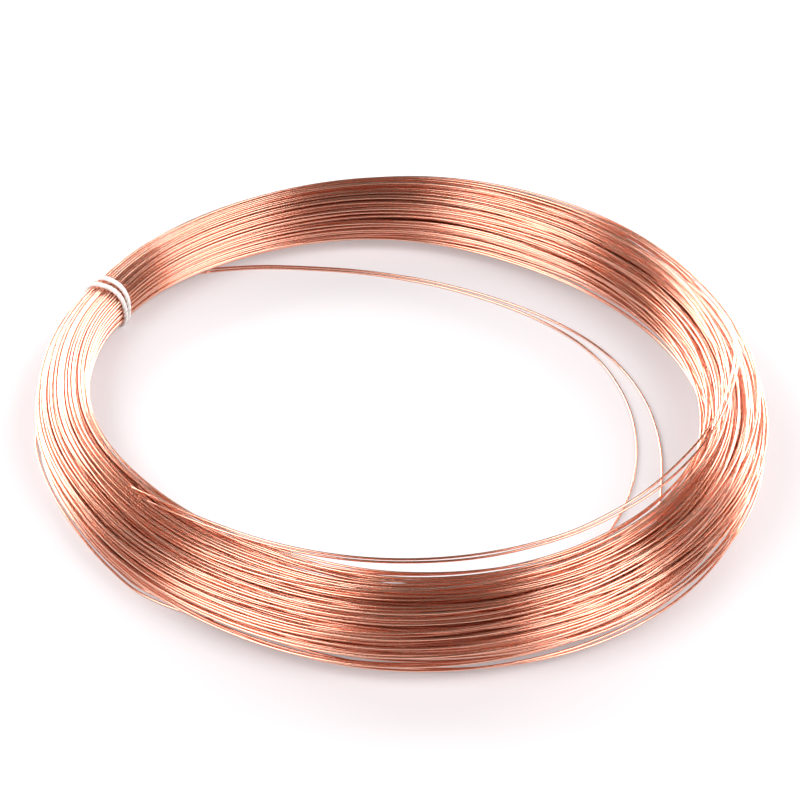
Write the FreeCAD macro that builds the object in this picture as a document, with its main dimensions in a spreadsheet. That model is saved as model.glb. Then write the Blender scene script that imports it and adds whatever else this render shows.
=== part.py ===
# Coil of enamelled copper wire, tied once with white string. Millimetres, +Z up.
# The origin is on the surface that the coil lies on, at the centre of its outer wall.
# -Y is the front, where the turns spread; +Y is the back, where they lie close together.
import FreeCAD, Part
import math
import os

import Sketcher

os.makedirs("parts", exist_ok=True)
doc = FreeCAD.newDocument("wire_coil")

# ---------------------------------------------------------------- driving dimensions
# Lengths in millimetres, angles in degrees.
SIZES = [
    ("outer_diameter", 190.0),    # over the turns
    ("bore_diameter", 154.0),     # the hole that the turns leave
    ("bore_offset", 5.0),         # bore centre behind the centre of the outer wall
    ("coil_height", 20.0),
    ("corner_radius", 4.0),       # rounding of the bundle of turns, seen in section
    ("turn_gaps", 5),             # gutters between turns that show on each end
    ("gutter_radius", 0.3),
    ("gutter_margin", 0.7),       # flat left between the rounding and the first gutter
    ("tie_angle", 238.0),         # place of the tie, counted from the front towards +X
    ("string_thickness", 1.4),
    ("strand_spacing", 1.26),     # the two turns of string press a little into each other
    ("seat_clearance", 0.1),      # between the string and the sides of its seat
    ("seat_corner", 3.0),         # rounding of the bundle under the string
    ("wire_diameter", 0.6),
    ("floor_clearance", 0.05),    # under the loose turns
]

sheet = doc.addObject("Spreadsheet::Sheet", "sizes")
for row, (alias, value) in enumerate(SIZES, start=1):
    sheet.set(f"A{row}", alias)
    sheet.set(f"B{row}", str(value))
    sheet.setAlias(f"B{row}", alias)
doc.recompute()


def size(alias):
    """Value of one cell of the sheet, as a plain number."""
    return float(sheet.get(alias))


# Expressions that several pieces share.
OUTER = "sizes.outer_diameter / 2"
BORE = "sizes.bore_diameter / 2"
SEAT_DEPTH = "(sizes.string_thickness + sizes.seat_clearance)"
TIE_TURN = "(sizes.tie_angle - 90)"
# Distance from the origin to the bore wall, in the direction of the tie.
TIE_BORE = (
    "(-sizes.bore_offset * cos(sizes.tie_angle * 1deg)"
    f" + sqrt(({BORE})^2 - (sizes.bore_offset * sin(sizes.tie_angle * 1deg))^2))"
)


# ---------------------------------------------------------------- sketch helpers
def origin_plane(body, role):
    """One of a body's own origin planes, such as XZ_Plane."""
    return next(o for o in body.Origin.OriginFeatures if o.Role == role)


def new_sketch(body, name, role):
    """Empty sketch on one of the body's origin planes."""
    sketch = body.newObject("Sketcher::SketchObject", name)
    sketch.AttachmentSupport = [(origin_plane(body, role), "")]
    sketch.MapMode = "FlatFace"
    return sketch


def turn_to_tie(sketch, axis):
    """Turn a sketch about the coil's axis, so that its x runs out towards the tie."""
    sketch.AttachmentOffset = FreeCAD.Placement(
        FreeCAD.Vector(0, 0, 0), FreeCAD.Rotation(axis, size("tie_angle") - 90)
    )
    sketch.setExpression("AttachmentOffset.Rotation.Angle", f"{TIE_TURN} * 1deg")


def bind(sketch, constraint, name, expression):
    """Add a named constraint and tie its value to the sheet."""
    index = sketch.addConstraint(constraint)
    sketch.renameConstraint(index, name)
    sketch.setExpression(f"Constraints.{name}", expression)


def rounded_rectangle(sketch, prefix, left, right, low, high, radius):
    """Closed outline with four equal rounded corners, its sides bound to expressions.

    Each side is given as (start value, expression). Returns the index of its first line.
    The order is bottom, right, top, left, then the corners from bottom right on round.
    """
    x0, x1, y0, y1, r = left[0], right[0], low[0], high[0], radius[0]
    lines = [
        ((x0 + r, y0), (x1 - r, y0)),
        ((x1, y0 + r), (x1, y1 - r)),
        ((x1 - r, y1), (x0 + r, y1)),
        ((x0, y1 - r), (x0, y0 + r)),
    ]
    centres = [(x1 - r, y0 + r), (x1 - r, y1 - r), (x0 + r, y1 - r), (x0 + r, y0 + r)]
    first = sketch.GeometryCount
    for start, end in lines:
        sketch.addGeometry(
            Part.LineSegment(FreeCAD.Vector(*start, 0), FreeCAD.Vector(*end, 0)), False
        )
    for k, centre in enumerate(centres):
        circle = Part.Circle(FreeCAD.Vector(*centre, 0), FreeCAD.Vector(0, 0, 1), r)
        start = (k - 1) * math.pi / 2
        sketch.addGeometry(Part.ArcOfCircle(circle, start, start + math.pi / 2), False)
    for k in range(4):
        arc = first + 4 + k
        sketch.addConstraint(Sketcher.Constraint("Tangent", first + k, 2, arc, 1))
        sketch.addConstraint(Sketcher.Constraint("Tangent", arc, 2, first + (k + 1) % 4, 1))
    for k, way in enumerate(["Horizontal", "Vertical", "Horizontal"]):
        sketch.addConstraint(Sketcher.Constraint(way, first + k))
    for k in range(1, 4):
        sketch.addConstraint(Sketcher.Constraint("Equal", first + 4, first + 4 + k))
    bind(sketch, Sketcher.Constraint("Radius", first + 4, r), f"{prefix}_corner", radius[1])
    bind(sketch, Sketcher.Constraint("DistanceX", -1, 1, first + 3, 1, x0), f"{prefix}_left", left[1])
    bind(sketch, Sketcher.Constraint("DistanceX", -1, 1, first + 1, 1, x1), f"{prefix}_right", right[1])
    bind(sketch, Sketcher.Constraint("DistanceY", -1, 1, first, 1, y0), f"{prefix}_low", low[1])
    bind(sketch, Sketcher.Constraint("DistanceY", -1, 1, first + 2, 1, y1), f"{prefix}_high", high[1])
    return first


# Where the string's seat and the string lie, measured out along the direction of the tie.
tie_bore = -size("bore_offset") * math.cos(math.radians(size("tie_angle"))) + math.sqrt(
    (size("bore_diameter") / 2) ** 2
    - (size("bore_offset") * math.sin(math.radians(size("tie_angle")))) ** 2
)


def seat_sides(inward, inward_text):
    """Sides of an outline that lies a stated depth under the bundle's surface at the tie."""
    return [
        (tie_bore + inward, f"{TIE_BORE} + {inward_text}"),
        (size("outer_diameter") / 2 - inward, f"{OUTER} - {inward_text}"),
        (inward, inward_text),
        (size("coil_height") - inward, f"sizes.coil_height - {inward_text}"),
    ]


# ---------------------------------------------------------------- wire coil
def build_wire_coil():
    """All the turns that lie together: a turned ring, its bore, and the seat of the string."""
    body = doc.addObject("PartDesign::Body", "coil_blank")

    outline = new_sketch(body, "outer_outline", "XZ_Plane")
    outer, high, r = size("outer_diameter") / 2, size("coil_height"), size("corner_radius")
    points = [(0, 0), (outer - r, 0), (outer, r), (outer, high - r), (outer - r, high), (0, high)]
    for k in (0, 2, 4, 5):
        start, end = points[k], points[(k + 1) % 6]
        outline.addGeometry(
            Part.LineSegment(FreeCAD.Vector(*start, 0), FreeCAD.Vector(*end, 0)), False
        )
    for centre_height, start in ((r, -math.pi / 2), (high - r, 0.0)):
        circle = Part.Circle(FreeCAD.Vector(outer - r, centre_height, 0), FreeCAD.Vector(0, 0, 1), r)
        outline.addGeometry(Part.ArcOfCircle(circle, start, start + math.pi / 2), False)
    # 0 bottom, 1 outer wall, 2 top, 3 axis, 4 lower corner, 5 upper corner
    for first, second in ((0, 4), (4, 1), (1, 5), (5, 2)):
        outline.addConstraint(Sketcher.Constraint("Tangent", first, 2, second, 1))
    outline.addConstraint(Sketcher.Constraint("Coincident", 2, 2, 3, 1))
    outline.addConstraint(Sketcher.Constraint("Coincident", 3, 2, 0, 1))
    outline.addConstraint(Sketcher.Constraint("Coincident", 0, 1, -1, 1))
    outline.addConstraint(Sketcher.Constraint("Horizontal", 0))
    outline.addConstraint(Sketcher.Constraint("Vertical", 1))
    outline.addConstraint(Sketcher.Constraint("Horizontal", 2))
    outline.addConstraint(Sketcher.Constraint("Vertical", 3))
    outline.addConstraint(Sketcher.Constraint("Equal", 4, 5))
    bind(outline, Sketcher.Constraint("Radius", 4, r), "corner", "sizes.corner_radius")
    bind(outline, Sketcher.Constraint("DistanceX", -1, 1, 1, 1, outer), "outer_wall", OUTER)
    bind(outline, Sketcher.Constraint("DistanceY", -1, 1, 2, 2, high), "top", "sizes.coil_height")
    disc = body.newObject("PartDesign::Revolution", "turned_disc")
    disc.Profile = outline
    disc.ReferenceAxis = (outline, ["V_Axis"])
    disc.Angle = 360
    outline.Visibility = False

    hole = new_sketch(body, "bore_circle", "XY_Plane")
    bore = size("bore_diameter") / 2
    centre = FreeCAD.Vector(0, size("bore_offset"), 0)
    hole.addGeometry(Part.Circle(centre, FreeCAD.Vector(0, 0, 1), bore), False)
    hole.addConstraint(Sketcher.Constraint("PointOnObject", 0, 3, -2))
    bind(hole, Sketcher.Constraint("Radius", 0, bore), "bore_radius", BORE)
    bind(hole, Sketcher.Constraint("DistanceY", -1, 1, 0, 3, centre.y), "offset", "sizes.bore_offset")
    cut = body.newObject("PartDesign::Pocket", "bore")
    cut.Profile = hole
    cut.Type = "ThroughAll"
    cut.Reversed = True
    doc.recompute()

    rims = [
        f"Edge{k}"
        for k, edge in enumerate(cut.Shape.Edges, start=1)
        if isinstance(edge.Curve, Part.Circle) and abs(edge.Curve.Radius - bore) < 1e-6
    ]
    rounding = body.newObject("PartDesign::Fillet", "bore_rounding")
    rounding.Base = (cut, rims)
    rounding.setExpression("Radius", "sizes.corner_radius")

    seat = new_sketch(body, "tie_seat_outline", "XZ_Plane")
    turn_to_tie(seat, FreeCAD.Vector(0, 1, 0))
    depth, depth_text = size("string_thickness") + size("seat_clearance"), SEAT_DEPTH
    clear, clear_text = -depth, f"(-1 * {depth_text})"
    corner = (size("seat_corner"), "sizes.seat_corner")
    rounded_rectangle(seat, "under", *seat_sides(depth, depth_text), corner)
    rounded_rectangle(seat, "around", *seat_sides(clear, clear_text), corner)
    slot = body.newObject("PartDesign::Pocket", "tie_seat")
    slot.Profile = seat
    slot.Type = "Length"
    slot.SideType = "Symmetric"
    slot.setExpression(
        "Length", "sizes.strand_spacing + sizes.string_thickness + 2 * sizes.seat_clearance"
    )
    doc.recompute()

    # Gutters between turns, from circles near the bore to circles near the outer wall.
    count = int(size("turn_gaps"))
    gutters = []
    inner_edge = f"({BORE} + sizes.corner_radius + sizes.gutter_margin)"
    outer_edge = f"({OUTER} - sizes.corner_radius - sizes.gutter_margin)"
    for k in range(count):
        share = k / (count - 1)
        for end, height in (("lower", "0"), ("upper", "sizes.coil_height")):
            gutter = doc.addObject("Part::Torus", f"gutter_{end}_{k + 1}")
            gutter.setExpression("Radius1", f"{inner_edge} + ({outer_edge} - {inner_edge}) * {share}")
            gutter.setExpression("Radius2", "sizes.gutter_radius")
            gutter.setExpression("Placement.Base.y", f"sizes.bore_offset * {1 - share}")
            gutter.setExpression("Placement.Base.z", height)
            gutters.append(gutter)
    all_gutters = doc.addObject("Part::MultiFuse", "gutters")
    all_gutters.Shapes = gutters
    coil = doc.addObject("Part::Cut", "wire_coil")
    coil.Base = body
    coil.Tool = all_gutters
    coil.Label = "wire_coil"
    return coil


# ---------------------------------------------------------------- tie string
def build_tie_string():
    """White string wound twice round the bundle, its two turns side by side."""
    body = doc.addObject("PartDesign::Body", "tie_string")
    body.Label = "tie_string"
    half = size("string_thickness") / 2
    middle = half + size("seat_clearance")
    middle_text = "(sizes.string_thickness / 2 + sizes.seat_clearance)"
    corner = (size("seat_corner") + half, "sizes.seat_corner + sizes.string_thickness / 2")

    route = new_sketch(body, "string_route", "XZ_Plane")
    turn_to_tie(route, FreeCAD.Vector(0, 1, 0))
    rounded_rectangle(route, "middle", *seat_sides(middle, middle_text), corner)

    section = new_sketch(body, "string_section", "XY_Plane")
    turn_to_tie(section, FreeCAD.Vector(0, 0, 1))
    section.setExpression(
        "AttachmentOffset.Base.z",
        f"{middle_text} + sizes.seat_corner + sizes.string_thickness / 2",
    )
    out = size("outer_diameter") / 2 - middle
    spacing = size("strand_spacing")
    opening = math.acos(spacing / 2 / half)
    for side in (1, -1):
        circle = Part.Circle(
            FreeCAD.Vector(out, side * spacing / 2, 0), FreeCAD.Vector(0, 0, 1), half
        )
        start = -side * math.pi / 2 + opening
        section.addGeometry(
            Part.ArcOfCircle(circle, start, start + 2 * math.pi - 2 * opening), False
        )
    section.addConstraint(Sketcher.Constraint("Coincident", 0, 2, 1, 1))
    section.addConstraint(Sketcher.Constraint("Coincident", 1, 2, 0, 1))
    section.addConstraint(Sketcher.Constraint("Equal", 0, 1))
    section.addConstraint(Sketcher.Constraint("Symmetric", 0, 3, 1, 3, -1))
    bind(section, Sketcher.Constraint("Radius", 0, half), "thickness", "sizes.string_thickness / 2")
    bind(section, Sketcher.Constraint("DistanceX", -1, 1, 0, 3, out), "out", f"{OUTER} - {middle_text}")
    bind(section, Sketcher.Constraint("DistanceY", 1, 3, 0, 3, spacing), "apart", "sizes.strand_spacing")
    doc.recompute()
    winding = body.newObject("PartDesign::AdditivePipe", "two_turns")
    winding.Profile = section
    winding.Spine = (route, [f"Edge{k}" for k in range(1, 9)])
    winding.Transition = "Transformed"
    return body


# ---------------------------------------------------------------- loose turns
# Two turns have slipped inwards at the bottom and lie on the floor inside the bore. Both
# leave the turns at the back left and go back under them at the front right. The places
# are x and y of the wire's centre line.
LOOSE_TURNS = {
    "loose_turn_wide": [
        (-47.7, 67.5), (-29.0, 71.0), (-8.0, 70.0), (14.0, 63.5), (36.0, 51.5),
        (53.0, 35.5), (62.5, 16.0), (65.8, -5.0), (64.5, -25.0), (61.0, -44.6),
    ],
    "loose_turn_narrow": [
        (-50.8, 65.0), (-28.0, 69.6), (-8.0, 68.4), (13.4, 62.0), (34.8, 50.0),
        (50.6, 34.5), (58.6, 13.0), (60.0, -7.5), (56.8, -27.0), (49.0, -45.0),
        (39.1, -63.2),
    ],
}
ARC_SHARE = 0.45    # how much of the shorter run an arc takes up


def rounded_path(points, name):
    """Straight runs between the points, joined by tangent arcs. Prints the arcs' radii."""
    edges = []
    radii = []
    start = points[0]
    for before, corner, after in zip(points, points[1:], points[2:]):
        run_in, run_out = corner - before, after - corner
        turn = run_in.getAngle(run_out)
        reach = ARC_SHARE * min(run_in.Length, run_out.Length)
        radii.append(reach / math.tan(turn / 2))
        way_in, way_out = run_in.normalize(), run_out.normalize()
        arc_start, arc_end = corner - way_in * reach, corner + way_out * reach
        inward = (way_out - way_in).normalize()
        middle = corner + inward * radii[-1] * (1 / math.cos(turn / 2) - 1)
        edges.append(Part.LineSegment(start, arc_start).toShape())
        edges.append(Part.Arc(arc_start, middle, arc_end).toShape())
        start = arc_end
    edges.append(Part.LineSegment(start, points[-1]).toShape())
    print(name, "radii", [round(radius, 1) for radius in radii])
    return Part.Wire(edges)


def build_loose_turn(name, places):
    """One loose turn of wire, as a plain tube on the floor."""
    radius = size("wire_diameter") / 2
    height = radius + size("floor_clearance")
    path = rounded_path([FreeCAD.Vector(x, y, height) for x, y in places], name)
    first = path.Edges[0]
    section = Part.Wire(
        Part.Circle(first.valueAt(first.FirstParameter), first.tangentAt(first.FirstParameter), radius)
        .toShape()
    )
    tube = doc.addObject("Part::Feature", name)
    tube.Label = name
    tube.Shape = path.makePipeShell([section], True, True)
    expected = math.pi * radius**2 * path.Length
    print(name, "length", round(path.Length, 1), "volume", round(tube.Shape.Volume / expected, 4))
    return tube


# ---------------------------------------------------------------- build, check and write
nodes = [build_wire_coil(), build_tie_string()]
nodes += [build_loose_turn(name, places) for name, places in LOOSE_TURNS.items()]
doc.recompute()

for item in doc.Objects:
    if "Invalid" in item.State or "Error" in item.State:
        raise RuntimeError(f"{item.Name} failed: {item.State}")
for node in nodes:
    if node.Shape.isNull() or not node.Shape.isValid() or len(node.Shape.Solids) != 1:
        raise RuntimeError(f"{node.Label} is not one valid solid")

for node in nodes:
    node.Shape.exportStep(f"parts/{node.Label}.step")
    box = node.Shape.BoundBox
    print(
        node.Label, "volume", round(node.Shape.Volume, 1),
        "x", round(box.XMin, 2), round(box.XMax, 2),
        "y", round(box.YMin, 2), round(box.YMax, 2),
        "z", round(box.ZMin, 2), round(box.ZMax, 2),
    )
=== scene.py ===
# %% [markdown]
# # A coil of enamelled copper wire
# The finished object is about 220 turns of one 0.6 mm wire, laid loosely on each other and
# tied once with white string. The frame gives the ring and its places; this script adds the
# turns themselves, the string and the finishes. All lengths are in metres.

# %% Load the frame
import math

import bpy
import numpy as np
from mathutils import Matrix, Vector


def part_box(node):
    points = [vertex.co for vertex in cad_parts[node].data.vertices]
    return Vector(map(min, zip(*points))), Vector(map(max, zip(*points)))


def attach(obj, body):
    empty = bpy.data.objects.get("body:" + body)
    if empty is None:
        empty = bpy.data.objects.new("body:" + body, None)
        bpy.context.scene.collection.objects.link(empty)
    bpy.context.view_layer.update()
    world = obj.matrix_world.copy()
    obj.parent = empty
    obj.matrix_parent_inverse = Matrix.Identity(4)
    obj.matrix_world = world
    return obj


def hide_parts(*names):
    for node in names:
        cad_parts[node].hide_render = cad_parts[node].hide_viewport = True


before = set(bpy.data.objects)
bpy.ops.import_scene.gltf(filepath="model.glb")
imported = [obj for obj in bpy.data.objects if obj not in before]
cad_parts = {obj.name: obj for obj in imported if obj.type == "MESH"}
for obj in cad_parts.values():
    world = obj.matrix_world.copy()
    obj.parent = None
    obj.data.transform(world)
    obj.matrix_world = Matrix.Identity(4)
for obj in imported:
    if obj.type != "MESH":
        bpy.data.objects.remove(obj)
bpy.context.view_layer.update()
ring_low, ring_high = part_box("wire_coil")
MM = 0.001
rng = np.random.default_rng(7)
print("ring box", [round(v, 4) for v in (*ring_low, *ring_high)])

# %% [markdown]
# ## Camera
# The coil is seen from the front and from above, with a long lens, so that its far side is
# only a little smaller than its near side. The camera is placed by an elevation and a
# distance, and it is turned to a point just above the middle of the ring.

# %% Camera
CAMERA_ELEVATION = math.radians(36.6)
CAMERA_DISTANCE = 0.7235
CAMERA_TARGET = Vector((0.0008, 0.0045, 0.0061))
CAMERA_LENS = 130.2


def add_camera():
    """Camera on the front side, turned to the target."""
    data = bpy.data.cameras.new("camera")
    data.lens = CAMERA_LENS
    data.sensor_width = 36.0
    data.clip_start = 0.01
    camera = bpy.data.objects.new("camera", data)
    bpy.context.collection.objects.link(camera)
    back = Vector((0, -math.cos(CAMERA_ELEVATION), math.sin(CAMERA_ELEVATION)))
    camera.location = CAMERA_TARGET + back * CAMERA_DISTANCE
    camera.rotation_euler = (-back).to_track_quat("-Z", "Y").to_euler()
    bpy.context.scene.camera = camera


add_camera()
print("camera at", [round(v, 3) for v in bpy.context.scene.camera.location])

# %% [markdown]
# ## Floor and light
# Bright wire is a row of tiny round mirrors. It shows the room as bands round the ring, so
# the lamps decide where the coil is cream and where it is dark red. Two soft panels stand
# beside the camera and two behind the coil, with dark gaps between them.

# %% Floor and world
FLOOR_SIZE = 30.0
# The floor's faint pink tint, in its tone and its glow, is painted bounce light from the copper; where
# the lamps light it fully it clips to white, so it shows in the shadow.
FLOOR_TONE_AND_PAINTED_BOUNCE = (0.56, 0.53, 0.54)
FLOOR_GLOW = 0.28
FLOOR_GLOW_AND_PAINTED_BOUNCE_TONE = (1, 0.97, 0.98)
ROOM_LIGHT = 0.085


def new_material(name):
    """Material with a node tree and its Principled shader."""
    material = bpy.data.materials.new(name)
    material.use_nodes = True
    return material, material.node_tree, material.node_tree.nodes["Principled BSDF"]


def add_rays(tree, path, kinds):
    """One where any of the named kinds of ray looks, and nothing elsewhere."""
    total = path.outputs[kinds[0]]
    for kind in kinds[1:]:
        both = tree.nodes.new("ShaderNodeMath")
        both.operation = "ADD"
        both.use_clamp = True
        tree.links.new(total, both.inputs[0])
        tree.links.new(path.outputs[kind], both.inputs[1])
        total = both.outputs[0]
    return total


def add_floor():
    """Wide pale floor that shows white to the camera and still takes the shadow; its faint pink tone is
    painted bounce light from the copper, seen in the shadow.
    """
    bpy.ops.object.select_all(action="DESELECT")
    bpy.ops.mesh.primitive_plane_add(size=FLOOR_SIZE, location=(0, 0, 0))
    floor = bpy.context.object
    floor.name = "floor"
    material, tree, shader = new_material("pale_floor")
    shader.inputs["Base Color"].default_value = (*FLOOR_TONE_AND_PAINTED_BOUNCE, 1)
    shader.inputs["Roughness"].default_value = 0.6
    shader.inputs["Specular IOR Level"].default_value = 0.2
    shader.inputs["Emission Color"].default_value = (*FLOOR_GLOW_AND_PAINTED_BOUNCE_TONE, 1)
    path = tree.nodes.new("ShaderNodeLightPath")
    seen = add_rays(tree, path, ("Is Camera Ray", "Is Glossy Ray", "Is Transmission Ray"))
    strength = tree.nodes.new("ShaderNodeMath")
    strength.operation = "MULTIPLY"
    strength.inputs[1].default_value = FLOOR_GLOW
    tree.links.new(seen, strength.inputs[0])
    tree.links.new(strength.outputs[0], shader.inputs["Emission Strength"])
    floor.data.materials.append(material)


def set_world():
    """White to the camera and through glass, and a dim even light to everything else."""
    world = bpy.data.worlds.new("studio")
    bpy.context.scene.world = world
    world.use_nodes = True
    tree = world.node_tree
    dim = tree.nodes["Background"]
    dim.inputs["Color"].default_value = (1, 1, 1, 1)
    dim.inputs["Strength"].default_value = ROOM_LIGHT
    white = tree.nodes.new("ShaderNodeBackground")
    path = tree.nodes.new("ShaderNodeLightPath")
    mix = tree.nodes.new("ShaderNodeMixShader")
    seen = add_rays(tree, path, ("Is Camera Ray", "Is Transmission Ray"))
    tree.links.new(seen, mix.inputs["Fac"])
    tree.links.new(dim.outputs[0], mix.inputs[1])
    tree.links.new(white.outputs[0], mix.inputs[2])
    tree.links.new(mix.outputs[0], tree.nodes["World Output"].inputs["Surface"])


add_floor()
set_world()
print("floor", FLOOR_SIZE, "metres wide, room light", ROOM_LIGHT)

# %% Lamps
# name: azimuth from the front towards +X, elevation, width, height (degrees and metres), power
LAMPS = {
    "front_left_panel": (-59, 38, 0.72, 0.85, 10.6),
    "front_right_panel": (59, 38, 0.72, 0.85, 10.6),
    "rear_left_panel": (-139, 18, 1.0, 0.52, 15.5),
    "rear_right_panel": (139, 18, 1.0, 0.52, 15.5),
}
LAMP_DISTANCE = 1.1


def add_lamp(name, azimuth, elevation, width, height, power):
    """Soft rectangular panel that faces the coil."""
    data = bpy.data.lights.new(name, "AREA")
    data.shape = "RECTANGLE"
    data.size, data.size_y = width, height
    data.energy = power
    lamp = bpy.data.objects.new(name, data)
    bpy.context.collection.objects.link(lamp)
    turn, rise = math.radians(azimuth), math.radians(elevation)
    level = math.cos(rise)
    way = Vector((math.sin(turn) * level, -math.cos(turn) * level, math.sin(rise)))
    lamp.location = way * LAMP_DISTANCE
    lamp.rotation_euler = (-way).to_track_quat("-Z", "Y").to_euler()


for lamp_name, values in LAMPS.items():
    add_lamp(lamp_name, *values)

bpy.context.scene.view_settings.view_transform = "Standard"
print("lamps", list(LAMPS))

# %% [markdown]
# ## The shape of the bundle
# The string squeezes the turns together at one place. Away from it they spread, most of all
# at the front, where the bundle is wide and low. The ring is a little oval too. These are
# measured round the ring, counted from the front towards the right, and smoothed between.

# %% Section of the bundle round the ring
# angle: (radius of the middle, half width, half height), millimetres
BUNDLE = {
    0: (82.4, 13.6, 8.2),
    30: (85.7, 12.1, 9.2),
    60: (85.0, 9.2, 9.5),
    90: (83.0, 7.9, 9.7),
    120: (82.1, 8.4, 9.8),
    150: (83.5, 9.9, 9.8),
    180: (87.6, 9.1, 9.3),
    210: (89.4, 7.8, 8.0),
    240: (88.9, 6.2, 6.6),
    270: (82.9, 7.6, 6.0),
    300: (77.2, 11.0, 6.2),
    330: (77.5, 13.8, 7.1),
}
TIE_ANGLE = math.radians(238)
TIE_SQUEEZE = 0.10
TIE_REACH = math.radians(7)
SECTION_POWER = 2.5


def smooth_round(values, angle):
    """Value at any angle, from values at even steps round a circle, by a periodic cubic."""
    count = len(values)
    place = np.mod(angle, 2 * math.pi) / (2 * math.pi) * count
    index = np.floor(place).astype(int)
    t = place - index
    p0, p1, p2, p3 = (values[(index + k) % count] for k in (-1, 0, 1, 2))
    bend = 2 * p0 - 5 * p1 + 4 * p2 - p3 + t * (3 * (p1 - p2) + p3 - p0)
    return p1 + 0.5 * t * (p2 - p0 + t * bend)


BUNDLE_ROWS = np.array(list(BUNDLE.values())) * MM


def bundle_at(angle):
    """Radius of the middle, half width and half height of the bundle at an angle."""
    middle, wide, high = (smooth_round(BUNDLE_ROWS[:, k], angle) for k in range(3))
    off = np.angle(np.exp(1j * (np.asarray(angle) - TIE_ANGLE)))
    squeeze = 1 - TIE_SQUEEZE * np.exp(-((off / TIE_REACH) ** 2))
    return middle, wide * squeeze, high * squeeze


at_string = [round(float(v), 4) for v in bundle_at(TIE_ANGLE)]
print("at the string: middle, half width, half height", at_string)

# %% [markdown]
# ## A tube along a path
# Each wire is a thin tube with eight sides, shaded smooth: at this size more sides can't be
# seen. The tube gets its own map, one strip for each turn, so that a pattern can be laid
# along the wire without stretching.

# %% Tube maker
def tube_mesh(name, path, radius, sides, per_strip):
    """Closed tube along a path of points, with a map that has one strip for each turn."""
    path = np.asarray(path)
    count = len(path)
    along = np.gradient(path, axis=0)
    along /= np.linalg.norm(along, axis=1, keepdims=True)
    side = np.cross(along, np.array([0.0, 0.0, 1.0]))
    side /= np.linalg.norm(side, axis=1, keepdims=True)
    upward = np.cross(side, along)
    angles = np.arange(sides) / sides * 2 * math.pi
    ring = (
        side[:, None] * np.cos(angles)[None, :, None] + upward[:, None] * np.sin(angles)[None, :, None]
    )
    radii = np.broadcast_to(radius, (count,))
    points = (path[:, None] + ring * radii[:, None, None]).reshape(-1, 3)
    step, corner = np.meshgrid(np.arange(count - 1), np.arange(sides), indexing="ij")
    after = (corner + 1) % sides
    quads = np.stack(
        [step * sides + corner, (step + 1) * sides + corner,
         (step + 1) * sides + after, step * sides + after], axis=-1
    ).reshape(-1, 4)
    faces = quads.tolist()
    faces.append(list(range(sides)))
    faces.append([(count - 1) * sides + k for k in reversed(range(sides))])
    mesh = bpy.data.meshes.new(name)
    mesh.from_pydata(points.tolist(), [], faces)
    strips = math.ceil((count - 1) / per_strip)
    u0 = (step % per_strip) / per_strip
    u1 = u0 + 1 / per_strip
    v0 = (step // per_strip + corner / (sides + 1)) / strips
    v1 = (step // per_strip + (corner + 1) / (sides + 1)) / strips
    corners = np.stack(
        [np.stack([u0, v0], -1), np.stack([u1, v0], -1), np.stack([u1, v1], -1), np.stack([u0, v1], -1)],
        axis=-2,
    ).reshape(-1, 2)
    caps = np.full((2 * sides, 2), 0.5 / per_strip)
    layer = mesh.uv_layers.new(name="OFBake")
    layer.data.foreach_set("uv", np.concatenate([corners, caps]).astype(np.float32).ravel())
    mesh.polygons.foreach_set("use_smooth", np.ones(len(mesh.polygons), dtype=bool))
    mesh.update()
    piece = bpy.data.objects.new(name, mesh)
    bpy.context.collection.objects.link(piece)
    return piece


# %% [markdown]
# ## The finish of the wire
# The wire is drawn copper under a thin clear enamel. Bare, it would be orange; under the
# enamel and among its neighbours it goes from cream, where it mirrors a lamp, to deep red in
# the gaps, where light has bounced from turn to turn. The tone drifts slowly along the wire.

# %% Wire finish
def add_group(name, inputs, outputs):
    """Empty node group with named sockets."""
    group = bpy.data.node_groups.new(name, "ShaderNodeTree")
    for socket, kind, value in inputs:
        item = group.interface.new_socket(socket, in_out="INPUT", socket_type=kind)
        item.default_value = value
    for socket, kind in outputs:
        group.interface.new_socket(socket, in_out="OUTPUT", socket_type=kind)
    return group, group.nodes.new("NodeGroupInput"), group.nodes.new("NodeGroupOutput")


def make_tone_group():
    """Two tones mixed by a soft cloud in object space, and the cloud itself."""
    group, start, end = add_group(
        "slow_tone",
        [("Scale", "NodeSocketFloat", 60.0), ("Tone A", "NodeSocketColor", (1, 1, 1, 1)),
         ("Tone B", "NodeSocketColor", (0, 0, 0, 1))],
        [("Color", "NodeSocketColor"), ("Cloud", "NodeSocketFloat")],
    )
    place = group.nodes.new("ShaderNodeTexCoord")
    cloud = group.nodes.new("ShaderNodeTexNoise")
    cloud.inputs["Detail"].default_value = 3.0
    mix = group.nodes.new("ShaderNodeMix")
    mix.data_type = "RGBA"
    group.links.new(place.outputs["Object"], cloud.inputs["Vector"])
    group.links.new(start.outputs["Scale"], cloud.inputs["Scale"])
    group.links.new(cloud.outputs["Fac"], mix.inputs["Factor"])
    group.links.new(start.outputs["Tone A"], mix.inputs[6])
    group.links.new(start.outputs["Tone B"], mix.inputs[7])
    group.links.new(mix.outputs[2], end.inputs["Color"])
    group.links.new(cloud.outputs["Fac"], end.inputs["Cloud"])
    return group


TONE_GROUP = make_tone_group()


def place_tone(tree, scale, tone_a, tone_b):
    """Put the tone group into a material."""
    node = tree.nodes.new("ShaderNodeGroup")
    node.node_tree = TONE_GROUP
    node.inputs["Scale"].default_value = scale
    node.inputs["Tone A"].default_value = (*tone_a, 1)
    node.inputs["Tone B"].default_value = (*tone_b, 1)
    return node


DEEP_COPPER = (0.92, 0.36, 0.22)
PALE_COPPER = (0.985, 0.50, 0.34)
COPPER_CLOUD_SCALE = 90.0


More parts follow.
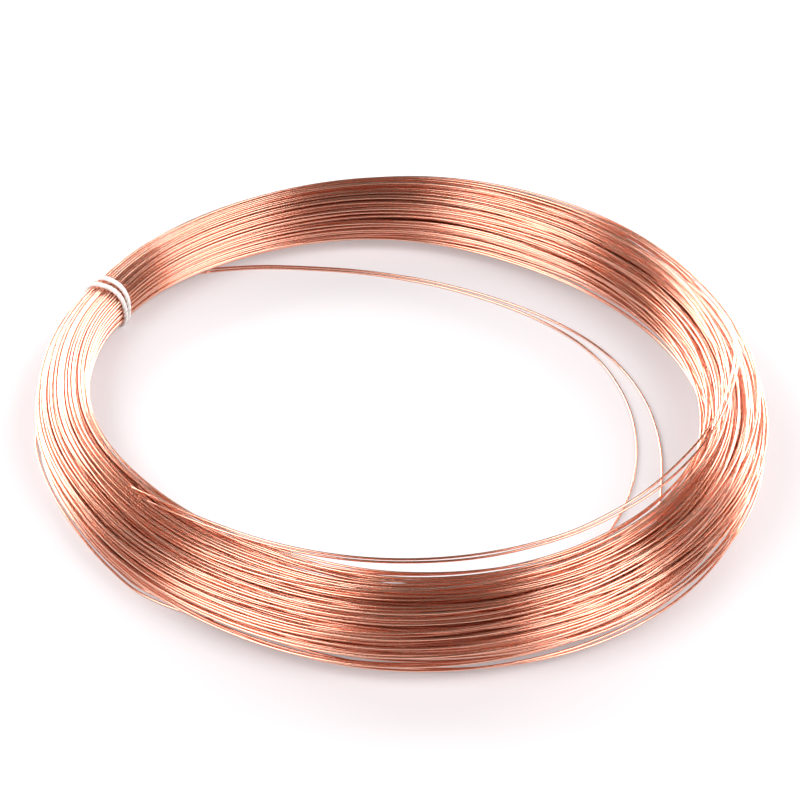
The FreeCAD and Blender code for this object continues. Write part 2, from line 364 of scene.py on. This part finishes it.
def make_wire_finish():
    """Copper seen through clear enamel."""
    material, tree, shader = new_material("enamelled_copper")
    tone = place_tone(tree, COPPER_CLOUD_SCALE, DEEP_COPPER, PALE_COPPER)
    tree.links.new(tone.outputs["Color"], shader.inputs["Base Color"])
    shader.inputs["Metallic"].default_value = 1.0
    shader.inputs["Roughness"].default_value = 0.26
    shader.inputs["Coat Weight"].default_value = 1.0
    shader.inputs["Coat Roughness"].default_value = 0.08
    shader.inputs["Coat IOR"].default_value = 2.0
    return material


WIRE_FINISH = make_wire_finish()
print("finish", WIRE_FINISH.name)

# %% [markdown]
# ## The turns
# A coil like this is one wire that never comes back to quite the same place. At the string
# the turns are packed like a bundle of straws, so each turn is given a place in a honeycomb
# there. Between one visit to the string and the next it wanders, and it comes back to another
# cell not far away. That makes turns cross at small angles, as loosely laid wire does.

# %% Honeycomb of places at the string
TURNS = 220
WIRE_RADIUS = 0.3 * MM
STEPS_PER_TURN = 144
WIRE_SIDES = 8
JUMP = 0.45
COMB_REACH = 30


def honeycomb(count):
    """Evenly spread places in a circle of radius 1, like straws in a bundle."""
    pitch = math.sqrt(2 * math.pi / (math.sqrt(3) * count))
    rows = range(-COMB_REACH, COMB_REACH + 1)
    spots = [((i + 0.5 * (j % 2)) * pitch, j * pitch * math.sqrt(3) / 2) for i in rows for j in rows]
    spots.sort(key=lambda spot: math.hypot(*spot))
    return np.array(spots[:count]) * (1 - pitch / 2)


def wandering_order(spots):
    """Order in which one wire visits all the places, with short random jumps."""
    left = list(range(1, len(spots)))
    order = [0]
    while left:
        aim = spots[order[-1]] + rng.normal(0, JUMP, 2)
        nearest = min(left, key=lambda k: float(np.sum((spots[k] - aim) ** 2)))
        left.remove(nearest)
        order.append(nearest)
    return spots[order]


cells = wandering_order(honeycomb(TURNS + 1))
print("turns", TURNS, "cells", len(cells))

# %% First places of the wire in the section
WANDER = (0.22, 0.09, 0.02)
share = np.arange(STEPS_PER_TURN) / STEPS_PER_TURN
ring_angle = TIE_ANGLE + 2 * math.pi * share
middle, wide, high = bundle_at(ring_angle)


def turn_places(number):
    """Places in the section along one turn, from one visit to the string to the next."""
    blend = (share - np.sin(2 * math.pi * share) / (2 * math.pi))[:, None]
    place = cells[number] * (1 - blend) + cells[number + 1] * blend
    free = np.sin(math.pi * share)[:, None] ** 2
    for waves, size in enumerate(WANDER, start=1):
        phase = rng.uniform(0, 2 * math.pi, 2)
        strength = rng.normal(0, size, 2)
        place = place + free * strength * np.sin(2 * math.pi * waves * share[:, None] + phase)
    return place


section = np.stack([wide - WIRE_RADIUS, high - WIRE_RADIUS], axis=-1)
places = np.stack([turn_places(k) for k in range(TURNS)])
corner = (np.abs(places) ** SECTION_POWER).sum(-1) ** (1 / SECTION_POWER)
round_reach = np.linalg.norm(places, axis=-1)
places *= (round_reach / np.maximum(corner, 1e-9))[..., None]
places = places * section
print("places in the section", places.shape)

# %% [markdown]
# Two wires can't be in the same place. The turns are pushed apart wherever they are closer
# than about one thickness, again and again, and smoothed along the wire after each push, because a
# springy wire takes no sharp bend. The outer ones are held inside the bundle's section.

# %% Push the turns apart
PUSH_ROUNDS = 26
APART = 2.06 * WIRE_RADIUS
SLACK = 0.03
LAST_SMOOTHING = 5
slack = np.abs(rng.normal(0, SLACK, (TURNS, 1)))
free = np.sin(math.pi * share)[None] ** 2


def push_apart(places):
    """Move each pair that is too close half of the missing distance apart."""
    moved = places.copy()
    for step in range(STEPS_PER_TURN):
        spot = places[:, step]
        away = spot[:, None] - spot[None]
        gap = np.sqrt((away**2).sum(-1)) + 1e-9
        lack = np.where(gap < APART, (APART - gap) / gap, 0.0)
        np.fill_diagonal(lack, 0.0)
        moved[:, step] += 0.5 * (away * lack[..., None]).sum(1).clip(-APART, APART)
    return moved


def smooth_along(places):
    """Take the bends out of the wire, over the joins between turns too."""
    line = places.reshape(-1, 2)
    padded = np.concatenate([line[:2], line, line[-2:]])
    line = (padded[:-4] + 4 * padded[1:-3] + 6 * padded[2:-2] + 4 * padded[3:-1] + padded[4:]) / 16
    return line.reshape(places.shape)


def hold_in(places):
    """Keep the turns inside the section, some a little looser than others."""
    reach = ((np.abs(places) / section) ** SECTION_POWER).sum(-1) ** (1 / SECTION_POWER)
    limit = 1 + slack * free
    places = places * np.where(reach > limit, limit / reach, 1.0)[..., None]
    places[..., 1] = np.maximum(places[..., 1], -section[:, 1])
    return places


for _ in range(PUSH_ROUNDS):
    places = hold_in(smooth_along(push_apart(places)))
places = hold_in(push_apart(places))
for _ in range(LAST_SMOOTHING):
    places = smooth_along(places)

out = middle + places[..., 0]
height = high + places[..., 1]
lines = np.stack([out * np.sin(ring_angle), -out * np.cos(ring_angle), height], axis=-1)
wire_line = lines.reshape(-1, 3)
wire_length = float(np.sum(np.linalg.norm(np.diff(wire_line, axis=0), axis=1)))
print("wire in the turns, metres", round(wire_length, 1))

# %% Tubes of the turns
TURNS_PER_PIECE = 44
coil_pieces = []
for first_turn in range(0, TURNS, TURNS_PER_PIECE):
    first_step = first_turn * STEPS_PER_TURN
    last_step = (first_turn + TURNS_PER_PIECE) * STEPS_PER_TURN
    piece = tube_mesh(
        f"turns_{first_turn + 1}_to_{first_turn + TURNS_PER_PIECE}",
        wire_line[first_step : last_step + 1], WIRE_RADIUS, WIRE_SIDES, STEPS_PER_TURN,
    )
    piece.data.materials.append(WIRE_FINISH)
    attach(piece, "root")
    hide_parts("wire_coil")
    coil_pieces.append(piece)
print("pieces of turns", len(coil_pieces))

# %% [markdown]
# ## Loose turns
# Two turns have slipped inwards and lie on the floor inside the ring. Each comes out of the
# bundle at the back left and goes back under it at the front right. A turn of wire is springy,
# so its line is one smooth spline through few points.

# %% Loose turns
LOOSE_HEIGHT = 0.35    # millimetres
LOOSE_TURNS = {
    "loose_turn_wide": [
        (-52.0, 71.3), (-40.0, 73.2), (-27.0, 72.8), (-8.0, 70.8), (14.0, 64.3), (36.0, 52.0),
        (53.0, 36.0), (62.5, 16.0), (65.8, -5.0), (64.5, -25.0), (61.0, -44.6), (55.0, -60.0),
    ],
    "loose_turn_narrow": [
        (-50.5, 70.2), (-39.5, 72.1), (-27.0, 71.7), (-8.0, 69.6), (13.5, 63.0), (34.8, 50.6),
        (50.6, 34.5), (58.6, 13.0), (60.0, -7.5), (56.8, -27.0), (49.0, -45.0),
        (39.1, -63.2), (32.0, -73.0),
    ],
}


def spline_curve(name, places):
    """Curve object of one open spline, from places given in millimetres."""
    data = bpy.data.curves.new(name, "CURVE")
    data.dimensions = "3D"
    data.resolution_u = 10
    spline = data.splines.new("NURBS")
    spline.points.add(len(places) - 1)
    for point, (x, y, z) in zip(spline.points, places):
        point.co = (x * MM, y * MM, z * MM, 1)
    spline.order_u = 3
    spline.use_endpoint_u = True
    curve = bpy.data.objects.new(name, data)
    bpy.context.collection.objects.link(curve)
    return curve


def line_points(curve):
    """Points along a curve that has no bevel, read from its own spline."""
    bpy.context.view_layer.update()
    mesh = bpy.data.meshes.new_from_object(curve)
    points = np.array([v.co[:] for v in mesh.vertices])
    bpy.data.meshes.remove(mesh)
    bpy.data.objects.remove(curve)
    return points


for node, places in LOOSE_TURNS.items():
    line = line_points(spline_curve(node + "_line", [(x, y, LOOSE_HEIGHT) for x, y in places]))
    length = float(np.sum(np.linalg.norm(np.diff(line, axis=0), axis=1)))
    piece = tube_mesh(node + "_wire", line, WIRE_RADIUS, 8, len(line) - 1)
    piece.data.materials.append(WIRE_FINISH)
    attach(piece, "root")
    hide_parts(node)
    print(node, "length", round(length, 4))

# %% [markdown]
# Some turns are only partly astray: two have sprung inwards near the top at the front, two
# have dropped to the floor outside the bundle at the left, and the loose turns above have
# leads that come out of the bundle. They are splines through a few places too, and they begin
# and end inside the bundle.

# %% Stray turns
STRAY_TURNS = {
    "sprung_in_outer": [
        (76, 40, 18.5), (84, 22, 19.9), (85, 4, 20.1), (80.6, -13.5, 19.4), (73.8, -29.5, 18.6),
        (62.5, -44, 16.8), (50, -53.8, 15.4), (37.8, -60.9, 14.6), (20, -66.9, 13.9), (0.8, -68.3, 13.6),
        (-17, -65.9, 13.4), (-36.3, -58, 12.8), (-56, -45, 11.5), (-71, -29, 7), (-81, -12, 4),
    ],
    "sprung_in_inner": [
        (74, 40, 18.2), (83.5, 22, 19.9), (84.3, 4, 20.1), (78.7, -16, 19.8), (72.5, -29, 19),
        (60.2, -44.5, 17.2), (50, -53, 16), (37.8, -60.4, 15), (20, -66, 14.3), (0.8, -67.8, 14),
        (-18.4, -64.8, 13.7), (-36.5, -57.3, 13.3), (-58.5, -41, 11.5), (-72.5, -25, 7), (-82, -8, 4),
    ],
    "dropped_outer": [
        (-83, 22, 4), (-88.2, 8, 1.6), (-90.2, -3, 0.5), (-88.6, -12, 0.35), (-85.0, -23, 0.35),
        (-78.4, -37, 0.35), (-69, -52.5, 0.35), (-57, -67, 0.4), (-42, -74, 1.5),
    ],
    "dropped_inner": [
        (-81, 20, 4.5), (-86.8, 6, 2), (-88.9, -4, 0.7), (-87.2, -13, 0.4), (-83.6, -24, 0.35),
        (-77, -37.5, 0.35), (-67.6, -52.5, 0.4), (-56, -66, 0.6), (-41, -72, 2.5),
    ],
    "lead_of_wide": [(-76, 54, 2), (-70, 63, 0.8), (-62, 69, 0.35), (-51.5, 71.4, 0.35)],
    "lead_of_narrow": [(-75, 52, 2.4), (-69, 61, 1), (-60.5, 67.8, 0.4), (-50, 70.3, 0.35)],
}


def join_pieces(pieces, name):
    """Join several objects into the first and rename it."""
    bpy.ops.object.select_all(action="DESELECT")
    for part in pieces:
        part.select_set(True)
    bpy.context.view_layer.objects.active = pieces[0]
    bpy.ops.object.join()
    pieces[0].name = name
    return pieces[0]


strays = []
for name, places in STRAY_TURNS.items():
    line = line_points(spline_curve(name + "_line", places))
    strays.append(tube_mesh(name, line, WIRE_RADIUS, WIRE_SIDES, len(line) - 1))
stray_turns = join_pieces(strays, "stray_turns")
stray_turns.data.materials.append(WIRE_FINISH)
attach(stray_turns, "root")
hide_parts("wire_coil")
print("stray turns", list(STRAY_TURNS))

# %% [markdown]
# ## The string
# Soft white cotton string goes round the bundle twice. It is three plies twisted together, and
# its turns part on top and meet low on the inside of the ring. Its line is worked out from
# the bundle's own section, so it hugs the squeezed turns.

# %% String finish
SHADED_COTTON = (0.80, 0.77, 0.74)
BRIGHT_COTTON = (0.90, 0.89, 0.87)
COTTON_CLOUD_SCALE = 1500.0


def make_string_finish():
    """Soft white cotton with fine fibres."""
    material, tree, shader = new_material("white_string")
    tone = place_tone(tree, COTTON_CLOUD_SCALE, SHADED_COTTON, BRIGHT_COTTON)
    tree.links.new(tone.outputs["Color"], shader.inputs["Base Color"])
    shader.inputs["Roughness"].default_value = 0.9
    shader.inputs["Sheen Weight"].default_value = 0.3
    bump = tree.nodes.new("ShaderNodeBump")
    bump.inputs["Strength"].default_value = 0.4
    bump.inputs["Distance"].default_value = 0.0001
    tree.links.new(tone.outputs["Cloud"], bump.inputs["Height"])
    tree.links.new(bump.outputs["Normal"], shader.inputs["Normal"])
    return material


STRING_FINISH = make_string_finish()
print("finish", STRING_FINISH.name)

# %% String
STRING_RADIUS = 0.7 * MM
PLY_RADIUS = 0.38 * MM
PLY_OFFSET = 0.27 * MM
PLIES = 3
TWISTS_PER_TURN = 9
STRING_STEPS = 240
STRING_BITE = 0.55    # how far the string's middle stands off the turns, in string radii
PARTING = (1.65, 0.75, math.radians(50))    # mean and swing in string radii, and where it is widest


def string_line():
    """Line of the string: twice round the section, drifting along the ring."""
    share = np.arange(2 * STRING_STEPS + 1) / STRING_STEPS
    turn = -2 * math.pi * share - math.pi / 2
    middle, wide, high = bundle_at(TIE_ANGLE)
    out_reach = wide + STRING_BITE * STRING_RADIUS
    up_reach = high + STRING_BITE * STRING_RADIUS
    corner = (np.abs(np.cos(turn)) ** SECTION_POWER + np.abs(np.sin(turn)) ** SECTION_POWER) ** (
        -1 / SECTION_POWER
    )
    out = middle + out_reach * corner * np.cos(turn)
    height = np.maximum(high + up_reach * corner * np.sin(turn), STRING_RADIUS)
    mean, swing, widest = PARTING
    parting = mean + swing * np.cos(turn - widest)
    drift = np.clip((share - 1) * 4, -1, 1) * parting * STRING_RADIUS
    angle = TIE_ANGLE + drift / middle
    return np.stack([out * np.sin(angle), -out * np.cos(angle), height], axis=-1)


def ply_lines(line):
    """Lines of the plies, twisted round the string's own line."""
    along = np.gradient(line, axis=0)
    along /= np.linalg.norm(along, axis=1, keepdims=True)
    ring_way = np.array([math.cos(TIE_ANGLE), math.sin(TIE_ANGLE), 0.0])
    side = ring_way - along * (along @ ring_way)[:, None]
    side /= np.linalg.norm(side, axis=1, keepdims=True)
    other = np.cross(along, side)
    share = np.arange(len(line)) / STRING_STEPS
    for k in range(PLIES):
        twist = 2 * math.pi * (TWISTS_PER_TURN * share + k / PLIES)
        yield line + PLY_OFFSET * (side * np.cos(twist)[:, None] + other * np.sin(twist)[:, None])


plies = [
    tube_mesh(f"ply_{k}", line, PLY_RADIUS, 8, STRING_STEPS)
    for k, line in enumerate(ply_lines(string_line()))
]
string = join_pieces(plies, "string_round_the_turns")
string.data.materials.append(STRING_FINISH)
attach(string, "root")
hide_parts("tie_string")
print("string plies", PLIES)
